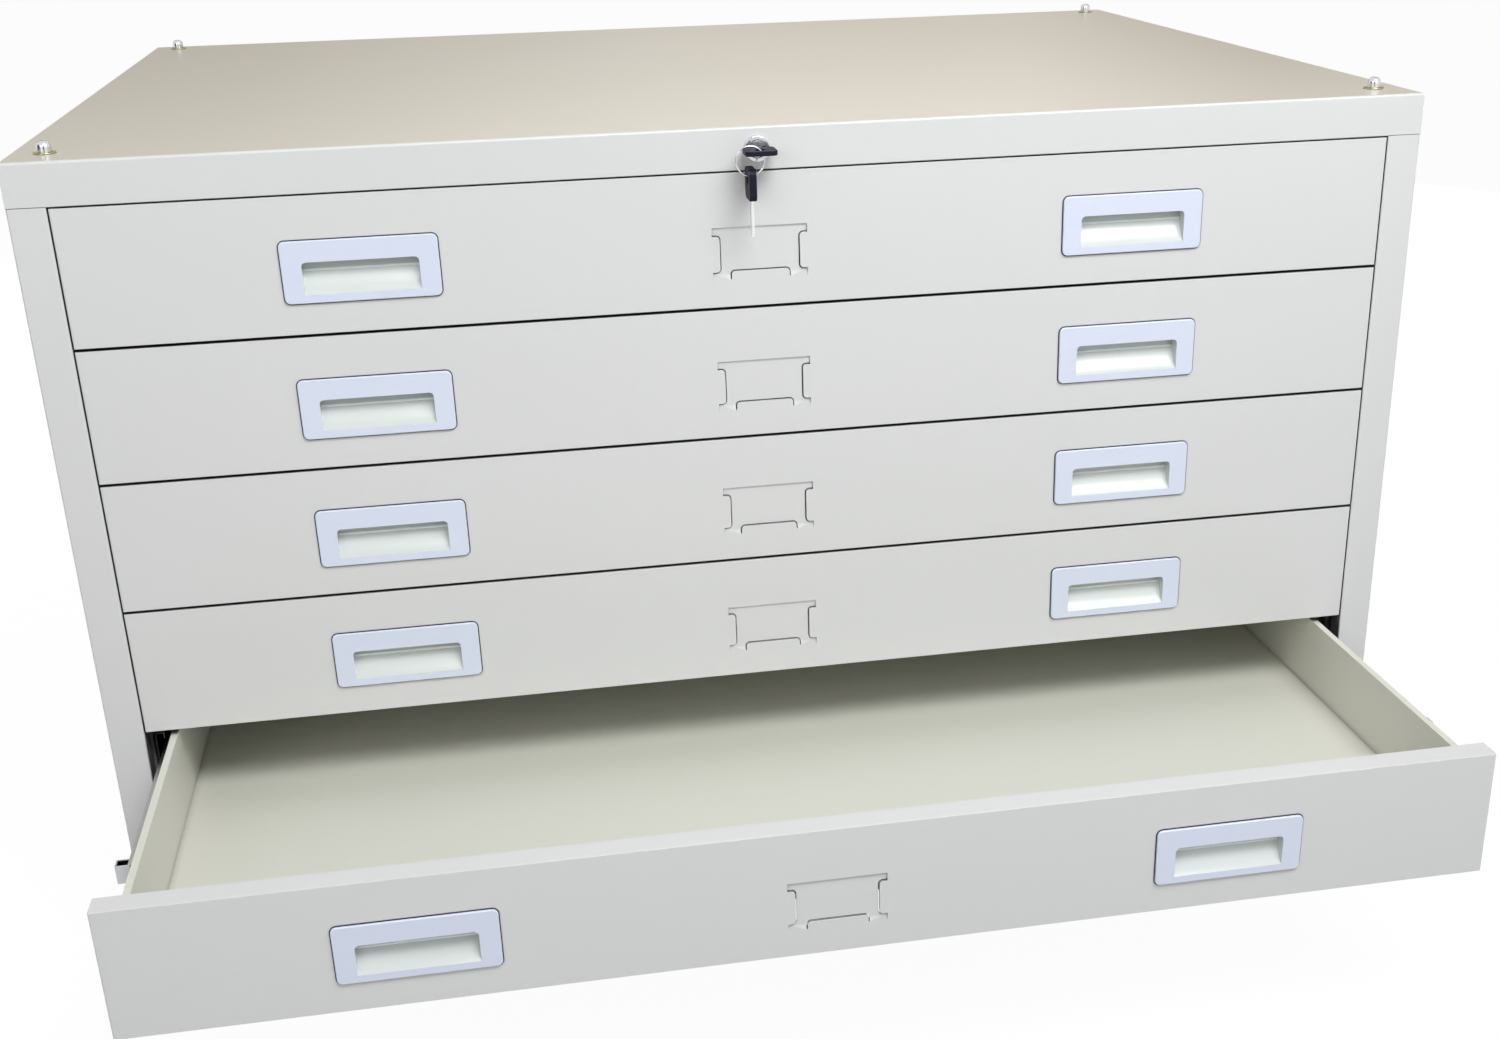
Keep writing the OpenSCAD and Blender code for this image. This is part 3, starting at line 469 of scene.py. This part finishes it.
def cutLabelSlots(front, faceY, frontZ):
    s = labelSizes
    z = frontZ + s["centreZ"]
    halfW, halfH = s["width"] / 2, s["height"] / 2
    low = (s["margin"] - halfW, z - halfH + s["margin"])
    high = (halfW - s["margin"], z + halfH - s["margin"])
    for side in (-halfW, halfW):
        sideSlot = tabSlot(s, side, z, 2 * s["tabReach"], s["tabLength"], faceY, low, high)
        combine(front, sideSlot, 'DIFFERENCE')
    lowSlot = tabSlot(s, 0, z - halfH, s["lowWidth"], 2 * s["lowHeight"], faceY, low, high)
    combine(front, lowSlot, 'DIFFERENCE')
    # the pressed groove along the recess's upper edge, turned down at both ends
    toY = faceY + s["beadDeep"]
    groove = roundedPlate("groove", s["width"], s["height"], s["beadCorner"],
                          0, z, faceY - s["margin"], toY, 0)
    core = roundedPlate("core", s["width"] - 2 * s["bead"], s["height"] - 2 * s["bead"],
                        s["beadCorner"] - s["bead"], 0, z, faceY - 2 * s["margin"], toY + s["margin"], 0)
    combine(groove, core, 'DIFFERENCE')
    upper = addBlock("upper", (-s["width"], faceY - s["slot"], z + halfH - s["beadReach"]),
                     (s["width"], toY + s["slot"], z + s["height"]))
    combine(groove, upper, 'INTERSECT')
    combine(front, groove, 'DIFFERENCE')


def makeFronts():
    s = frontSizes
    low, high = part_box("drawer_front_1")
    master = copyNode("drawer_front_1", "drawerFront1")

    def outerBend(a, b):
        onFace = near(a.y, low[1]) and near(b.y, low[1])
        level = near(a.z, b.z) and (near(a.z, low[2]) or near(a.z, high[2]))
        upright = near(a.x, b.x) and (near(a.x, low[0]) or near(a.x, high[0]))
        return onFace and (level or upright)

    roundEdges(master, outerBend, s["bend"], 4)
    softenEdges(master, s["edge"])
    cutLabelSlots(master, low[1], low[2])
    shift = rowShift("drawer_front")
    for row in rows:
        front = master if row == 1 else copyPiece(master, f"drawerFront{row}", shift(row))
        finishPiece(front, f"drawer_{row}", "body_paint", bodyPaint, f"drawer_front_{row}")


makeFronts()
print("drawer fronts done")


# trays with rolled rims

traySizes = {"rim": 0.0009, "edge": 0.00025}


def makeTrays():
    s = traySizes
    low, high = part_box("drawer_tray_1")
    master = copyNode("drawer_tray_1", "drawerTray1")

    def rimEdge(a, b):
        return near(a.z, high[2]) and near(b.z, high[2]) and near(a.x, b.x) and abs(a.y - b.y) > 0.3

    roundEdges(master, rimEdge, s["rim"], 3)
    softenEdges(master, s["edge"])
    shift = rowShift("drawer_tray")
    for row in rows:
        tray = master if row == 1 else copyPiece(master, f"drawerTray{row}", shift(row))
        finishPiece(tray, f"drawer_{row}", "tray_paint", trayPaint, f"drawer_tray_{row}")


makeTrays()
print("trays done")


# finger pulls: a frame ringed by a painted shadow line, with a scooped pocket behind it

pullSizes = {
    "width": 0.1065, "height": 0.043, "proud": 0.0022, "corner": 0.004, "edge": 0.0008,
    "seat": 0.0007, "shadeRimThick": 0.0006,
    "pocketW": 0.079, "pocketH": 0.0225, "pocketDrop": 0.0045, "pocketDepth": 0.0095,
    "pocketCorner": 0.003, "wall": 0.0015, "scoop": 0.040, "ribRise": 0.19, "rib": 0.0009,
    "reach": 0.010, "shadeRimLap": 0.001, "slack": 0.0001,
}


def scoopCutter(s, x, z, faceY):
    halfW, halfH = s["pocketW"] / 2, s["pocketH"] / 2
    cutter = addBlock("cutter", (x - halfW, faceY - s["reach"], z - halfH),
                      (x + halfW, faceY + s["pocketDepth"], z + halfH))
    roundEdges(cutter, lambda a, b: not near(a.y, b.y) and a.z > z and b.z > z, s["pocketCorner"], 6)
    # the arc runs from the frame's lower lip to the top of the back wall
    run = s["pocketDepth"] + s["proud"]
    chord = math.hypot(run, s["pocketH"])
    rise = math.sqrt(s["scoop"] ** 2 - (chord / 2) ** 2)
    midY = faceY - s["proud"] + run / 2
    centreY = midY - rise * s["pocketH"] / chord
    centreZ = z + rise * run / chord
    drum = addRound("drum", s["scoop"], (x - s["pocketW"], centreY, centreZ), 2 * s["pocketW"], 0, 360)
    combine(cutter, drum, 'INTERSECT')
    # a low rib runs across the scoop; its near-white plastic paints a highlight line there
    ribZ = z + s["ribRise"] * s["pocketH"]
    scoopY = centreY + math.sqrt(s["scoop"] ** 2 - (ribZ - centreZ) ** 2)
    ribFront = scoopY - s["rib"]
    rib = addBlock("rib", (x - halfW, ribFront, ribZ - s["rib"]),
                   (x + halfW, scoopY + s["rib"], ribZ + s["rib"]))

    def seenEdge(a, b):
        return not near(a.x, b.x) or near(a.y, ribFront) and near(b.y, a.y)

    roundEdges(rib, seenEdge, s["rib"] / 2, 3)
    return cutter, rib


def makePull(x, z, faceY):
    s = pullSizes
    frontY = faceY - s["proud"]
    plate = roundedPlate("pull", s["width"], s["height"], s["corner"], x, z, frontY, faceY, s["edge"])
    pocketZ = z - s["pocketDrop"]
    boss = roundedPlate("boss", s["pocketW"] + 2 * s["wall"], s["pocketH"] + 2 * s["wall"],
                        s["pocketCorner"] + s["wall"], x, pocketZ, faceY - s["proud"] / 2,
                        faceY + s["pocketDepth"] + s["wall"], 0)
    combine(plate, boss, 'UNION')
    cutter, rib = scoopCutter(s, x, pocketZ, faceY)
    combine(plate, cutter, 'DIFFERENCE')
    setPaints(plate, pullPlastic, scoopShadePlastic)
    # faces inside the pocket take the darker scoop plastic: painted shade
    halfW, halfH = s["pocketW"] / 2 + s["slack"], s["pocketH"] / 2 + s["slack"]
    for face in plate.data.polygons:
        c = face.center
        inPocket = abs(c.x - x) < halfW and abs(c.z - pocketZ) < halfH and c.y > frontY + s["slack"]
        face.material_index = 1 if inPocket and c.y < faceY + s["pocketDepth"] + s["slack"] else 0
    # a thin near-black ring just outside the frame: a painted shadow line where the frame meets the front
    seat = roundedPlate("seat", s["width"] + 2 * s["seat"], s["height"] + 2 * s["seat"],
                        s["corner"] + s["seat"], x, z, faceY - s["shadeRimThick"], faceY, 0)
    holeW, holeH = s["width"] / 2 - s["shadeRimLap"], s["height"] / 2 - s["shadeRimLap"]
    hole = addBlock("hole", (x - holeW, faceY - s["reach"], z - holeH),
                    (x + holeW, faceY + s["reach"], z + holeH))
    combine(seat, hole, 'DIFFERENCE')
    setPaints(seat, pullShadeLine)
    setPaints(rib, ribHighlightPlastic)
    return joinPieces([plate, seat, rib])


def makePulls():
    s = pullSizes
    low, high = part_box("drawer_handles_1")
    x = low[0] + s["width"] / 2
    z = (low[2] + high[2]) / 2
    faceY = low[1] + s["proud"]
    left = makePull(x, z, faceY)
    right = copyPiece(left, "pullRight", (high[0] - low[0] - s["width"], 0, 0))
    master = joinPieces([left, right])
    master.name = "drawerPulls1"
    shift = rowShift("drawer_handles")
    for row in rows:
        pulls = master if row == 1 else copyPiece(master, f"drawerPulls{row}", shift(row))
        finishPiece(pulls, f"drawer_{row}", "pull_plastic", pullPlastic, f"drawer_handles_{row}")


makePulls()
print("finger pulls done")


# telescopic runners

runnerSizes = {"edge": 0.0002}


def makeRunners():
    s = runnerSizes
    fixed = copyNode("cabinet_runners", "cabinetRunners")
    softenEdges(fixed, s["edge"])
    finishPiece(fixed, "cabinet", "zinc_steel", zincSteel, "cabinet_runners")
    for node, name, body in (
            ("drawer_runners", "drawerRunners", "drawer"),
            ("middle_runners", "middleRunners", "runner")):
        master = copyNode(node + "_1", name + "1")
        softenEdges(master, s["edge"])
        shift = rowShift(node)
        for row in rows:
            runner = master if row == 1 else copyPiece(master, f"{name}{row}", shift(row))
            finishPiece(runner, f"{body}_{row}", "zinc_steel", zincSteel, f"{node}_{row}")


makeRunners()
print("runners done")


# stacking studs on their washers

studSizes = {
    "headR": 0.005, "headH": 0.0075, "dome": 0.004,
    "shankR": 0.003, "foot": 0.0003, "washerEdge": 0.0003,
}


def makeStud(s, x, y, top, bottom):
    neck = top - s["headH"]
    head = addRound("head", s["headR"], (x, y, neck), s["headH"], 2, 48)
    roundEdges(head, lambda a, b: near(a.z, top) and near(b.z, top), s["dome"], 10)
    roundEdges(head, lambda a, b: near(a.z, neck) and near(b.z, neck), s["foot"], 2)
    shank = addRound("shank", s["shankR"], (x, y, bottom), neck - bottom + s["foot"], 2, 32)
    roundEdges(shank, lambda a, b: near(a.z, bottom) and near(b.z, bottom), s["foot"], 1)
    return joinPieces([head, shank])


def makeStuds():
    s = studSizes
    low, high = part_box("stacking_studs")
    studs = joinPieces([makeStud(s, x, y, high[2], low[2])
                        for x in (low[0] + s["headR"], high[0] - s["headR"])
                        for y in (low[1] + s["headR"], high[1] - s["headR"])])
    studs.name = "stackingStuds"
    finishPiece(studs, "cabinet", "bright_steel", brightSteel, "stacking_studs", angle=45)
    washers = copyNode("stud_washers", "studWashers")
    softenEdges(washers, s["washerEdge"], 2, 60)
    finishPiece(washers, "cabinet", "yellow_zinc", washerSteel, "stud_washers")


makeStuds()
print("studs done")


# lock, key in the lock and spare key

lockSizes = {"ringEdge": 0.0006, "plugEdge": 0.0004}
keySizes = {"headEdge": 0.0009, "bladeEdge": 0.0002, "headShare": 0.66}


def makeLock():
    s = lockSizes
    for node, name, body, width, slot in (
            ("lock_housing", "lockHousing", "cabinet", s["ringEdge"], "bright_steel"),
            ("lock_plug", "lockPlug", "lock_turn", s["plugEdge"], "bright_steel")):
        piece = copyNode(node, name)
        softenEdges(piece, width, 3, 60)
        finishPiece(piece, body, slot, brightSteel, node)


def makeKeys():
    s = keySizes
    for prefix, body in (("key", "key"), ("spare_key", "spare_key")):
        name = "spareKey" if prefix == "spare_key" else "key"
        head = copyNode(prefix + "_head", name + "Head")
        if prefix == "key":
            low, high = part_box("key_head")
            head.scale.z = s["headShare"]
            head.location.z = (1 - s["headShare"]) * (low[2] + high[2]) / 2
            applyPlace(head)
        softenEdges(head, s["headEdge"], 3, 60)
        finishPiece(head, body, "key_plastic", keyPlastic, prefix + "_head")
        blade = copyNode(prefix + "_blade", name + "Blade")
        softenEdges(blade, s["bladeEdge"], 2, 60)
        finishPiece(blade, body, "bright_steel", keySteel, prefix + "_blade")


makeLock()
makeKeys()
print("lock and keys done")


# casters

casterSizes = {"forkEdge": 0.0005, "wheelEdge": 0.0004, "pedalEdge": 0.001, "tyreInner": 0.0285}


def makeCasters():
    s = casterSizes
    for spot in ("front_left", "front_right", "rear_left", "rear_right"):
        tail = "".join(word.capitalize() for word in spot.split("_"))
        fork = copyNode("caster_fork_" + spot, "casterFork" + tail)
        softenEdges(fork, s["forkEdge"], 2, 60)
        finishPiece(fork, "fork_" + spot, "zinc_steel", zincSteel, "caster_fork_" + spot)
        node = "caster_wheel_" + spot
        low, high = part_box(node)
        wheel = copyNode(node, "casterWheel" + tail)
        softenEdges(wheel, s["wheelEdge"], 2, 60)
        setPaints(wheel, tyreRubber, hubPlastic)
        axleY, axleZ = (low[1] + high[1]) / 2, (low[2] + high[2]) / 2
        for face in wheel.data.polygons:
            reach = math.hypot(face.center.y - axleY, face.center.z - axleZ)
            face.material_index = 0 if reach > s["tyreInner"] else 1
        finishPiece(wheel, "wheel_" + spot, "wheel_rubber", tyreRubber, node)
        if spot.startswith("front"):
            pedal = copyNode("brake_pedal_" + spot, "brakePedal" + tail)
            softenEdges(pedal, s["pedalEdge"], 3, 60)
            finishPiece(pedal, "pedal_" + spot, "pedal_plastic", pedalPlastic, "brake_pedal_" + spot)


makeCasters()
print("casters done")


# the remaining CAD nodes keep their shapes and get their finish

finishOfSlot = {
    "body_paint": bodyPaint, "tray_paint": trayPaint, "pull_plastic": pullPlastic, "zinc_steel": zincSteel,
    "bright_steel": brightSteel, "yellow_zinc": washerSteel, "key_plastic": keyPlastic,
    "wheel_rubber": tyreRubber, "pedal_plastic": pedalPlastic,
}


def dressNodes():
    for part in frame["record"]["subparts"]:
        setPaints(frame["nodes"][part["node"]], finishOfSlot[part["material_slot"]])


dressNodes()
print("CAD nodes dressed")


# floor, world, lamps and camera

stageSizes = {"floor": 60.0, "shadowShare": 0.12, "floorTone": 0.42, "floorGlow": 1.09}


# 1 for what the camera sees itself, in metal or through glass, and 0 for the light on the object
def seenRays(tree):
    path = tree.nodes.new('ShaderNodeLightPath')
    total = None
    for ray in ("Is Camera Ray", "Is Glossy Ray", "Is Transmission Ray"):
        if total is None:
            total = path.outputs[ray]
            continue
        most = tree.nodes.new('ShaderNodeMath')
        most.operation = 'MAXIMUM'
        tree.links.new(total, most.inputs[0])
        tree.links.new(path.outputs[ray], most.inputs[1])
        total = most.outputs[0]
    return total.node


def makeFloor():
    clearPick()
    bpy.ops.mesh.primitive_plane_add(size=stageSizes["floor"], location=(0, 0, 0))
    floor = bpy.context.active_object
    floor.name = "floor"
    material = bpy.data.materials.new("floorPaper")
    material.use_nodes = True
    tree = material.node_tree
    shader = tree.nodes["Principled BSDF"]
    shader.inputs["Base Color"].default_value = (*[stageSizes["floorTone"]] * 3, 1)
    shader.inputs["Roughness"].default_value = 0.9
    shader.inputs["Specular IOR Level"].default_value = 0.1
    glow = addNode(tree, 'ShaderNodeEmission', Color=(1, 1, 1, 1), Strength=stageSizes["floorGlow"])
    seen = seenRays(tree)
    share = tree.nodes.new('ShaderNodeMath')
    share.operation = 'MULTIPLY'
    share.inputs[1].default_value = 1 - stageSizes["shadowShare"]
    blend = tree.nodes.new('ShaderNodeMixShader')
    output = tree.nodes["Material Output"]
    tree.links.new(seen.outputs[0], share.inputs[0])
    tree.links.new(share.outputs[0], blend.inputs["Fac"])
    tree.links.new(shader.outputs[0], blend.inputs[1])
    tree.links.new(glow.outputs[0], blend.inputs[2])
    tree.links.new(blend.outputs[0], output.inputs["Surface"])
    floor.data.materials.append(material)


# the room lights the object softly from all round; the camera and the metal see it white
def makeWorld():
    world = bpy.data.worlds.new("studioWorld")
    bpy.context.scene.world = world
    world.use_nodes = True
    tree = world.node_tree
    background = tree.nodes["Background"]
    coord = tree.nodes.new('ShaderNodeTexCoord')
    split = tree.nodes.new('ShaderNodeSeparateXYZ')
    ramp = tree.nodes.new('ShaderNodeValToRGB')
    ramp.color_ramp.elements[0].position = 0.0
    ramp.color_ramp.elements[0].color = (0.24, 0.24, 0.24, 1)
    ramp.color_ramp.elements[1].position = 1.0
    ramp.color_ramp.elements[1].color = (0.23, 0.23, 0.23, 1)
    white = addNode(tree, 'ShaderNodeBackground', Color=(1, 1, 1, 1), Strength=1.0)
    seen = seenRays(tree)
    blend = tree.nodes.new('ShaderNodeMixShader')
    background.inputs["Strength"].default_value = 1.0
    tree.links.new(coord.outputs["Generated"], split.inputs["Vector"])
    tree.links.new(split.outputs["Z"], ramp.inputs["Fac"])
    tree.links.new(ramp.outputs["Color"], background.inputs["Color"])
    tree.links.new(seen.outputs[0], blend.inputs["Fac"])
    tree.links.new(background.outputs[0], blend.inputs[1])
    tree.links.new(white.outputs[0], blend.inputs[2])
    tree.links.new(blend.outputs[0], tree.nodes["World Output"].inputs["Surface"])


def addLamp(name, place, target, width, height, power, tint=(1.0, 1.0, 1.0)):
    lamp = bpy.data.lights.new(name, 'AREA')
    lamp.shape = 'RECTANGLE'
    lamp.size = width
    lamp.size_y = height
    lamp.energy = power
    lamp.color = tint
    holder = bpy.data.objects.new(name, lamp)
    bpy.context.scene.collection.objects.link(holder)
    holder.location = place
    aim = Matrix.Translation(place).inverted() @ Matrix.Translation(target)
    holder.rotation_euler = aim.translation.to_track_quat('-Z', 'Y').to_euler()
    return holder


def makeLamps():
    addLamp("mainLamp", (1.30, -2.45, 1.25), (0, -0.37, 0.45), 2.0, 1.6, 7.8, (0.95, 0.97, 1.0))
    addLamp("fillLamp", (-1.40, -2.20, 1.40), (0, -0.37, 0.45), 1.5, 1.2, 11, (1.0, 1.0, 0.965))
    addLamp("frontLamp", (0.42, -1.30, 1.60), (0, -0.37, 0.55), 1.2, 0.5, 11.5, (0.985, 0.995, 1.0))
    addLamp("skyLamp", (0.45, -2.05, 2.60), (0, -0.37, 0.45), 1.5, 1.0, 29.5, (0.99, 0.995, 1.0))
    # the back and the sides get theirs from behind, out of the top's mirror image
    for name, place, power in (
            ("rearLamp", (-0.90, 2.60, 0.80), 26),
            ("rearLeftLamp", (-2.60, 1.70, 0.45), 34),
            ("rearRightLamp", (2.60, 1.70, 0.45), 34)):
        lamp = addLamp(name, place, (0, 0.30, 0.38), 1.8, 0.8, power)
        lamp.visible_glossy = False


# a card that only shows in reflections; its tones run along x
def addCard(name, low, high, stops):
    card = addBlock(name, low, high)
    material = bpy.data.materials.new(name + "Tone")
    material.use_nodes = True
    tree = material.node_tree
    coord = tree.nodes.new('ShaderNodeTexCoord')
    split = tree.nodes.new('ShaderNodeSeparateXYZ')
    along = addNode(tree, 'ShaderNodeMapRange', From_Min=low[0], From_Max=high[0])
    ramp = tree.nodes.new('ShaderNodeValToRGB')
    glow = addNode(tree, 'ShaderNodeEmission', Strength=1.0)
    marks = ramp.color_ramp.elements
    while len(marks) < len(stops):
        marks.new(1.0)
    for mark, (place, tone) in zip(marks, stops):
        mark.position = place
        mark.color = (*tone, 1)
    tree.links.new(coord.outputs["Object"], split.inputs["Vector"])
    tree.links.new(split.outputs["X"], along.inputs["Value"])
    tree.links.new(along.outputs["Result"], ramp.inputs["Fac"])
    tree.links.new(ramp.outputs["Color"], glow.inputs["Color"])
    tree.links.new(glow.outputs[0], tree.nodes["Material Output"].inputs["Surface"])
    card.data.materials.append(material)
    for way in ("camera", "diffuse", "transmission", "volume_scatter", "shadow"):
        setattr(card, "visible_" + way, False)


# the room as the top and the chrome mirror it: a warm wall behind, dark things in front
def makeCards():
    addCard("warmCard", (-2.0, 1.99, 0.66), (3.0, 2.01, 2.4), (
        (0.0, (0.45, 0.40, 0.34)), (0.28, (0.60, 0.54, 0.45)), (0.43, (0.93, 0.86, 0.76)),
        (0.58, (0.93, 0.82, 0.72)), (0.69, (0.38, 0.29, 0.22)), (1.0, (0.30, 0.25, 0.20))))
    darkTone, greyTone = (0.02, 0.02, 0.06), (0.14, 0.14, 0.16)
    addCard("darkCard", (-0.45, -2.31, 0.05), (0.05, -2.29, 1.5), ((0.0, darkTone), (1.0, darkTone)))
    addCard("greyCard", (-1.91, -2.0, 0.1), (-1.89, -0.2, 1.6), ((0.0, greyTone), (1.0, greyTone)))


# fitted to the straight edges of the photo
cameraSizes = {
    "lens": 43.728, "sensor": 36, "shiftX": -0.04401, "shiftY": 0.06733,
    "place": (-0.19507, -1.65277, 0.83144), "turn": (66.63015, 1.22938, -10.66262),
}


def makeCamera():
    s = cameraSizes
    camera = bpy.data.cameras.new("photoCamera")
    camera.lens = s["lens"]
    camera.sensor_width = s["sensor"]
    camera.shift_x = s["shiftX"]
    camera.shift_y = s["shiftY"]
    holder = bpy.data.objects.new("photoCamera", camera)
    bpy.context.scene.collection.objects.link(holder)
    holder.location = s["place"]
    holder.rotation_euler = [math.radians(a) for a in s["turn"]]
    bpy.context.scene.camera = holder


makeFloor()
makeWorld()
makeLamps()
makeCards()
makeCamera()
bpy.context.scene.view_settings.view_transform = 'Standard'
print("stage done")
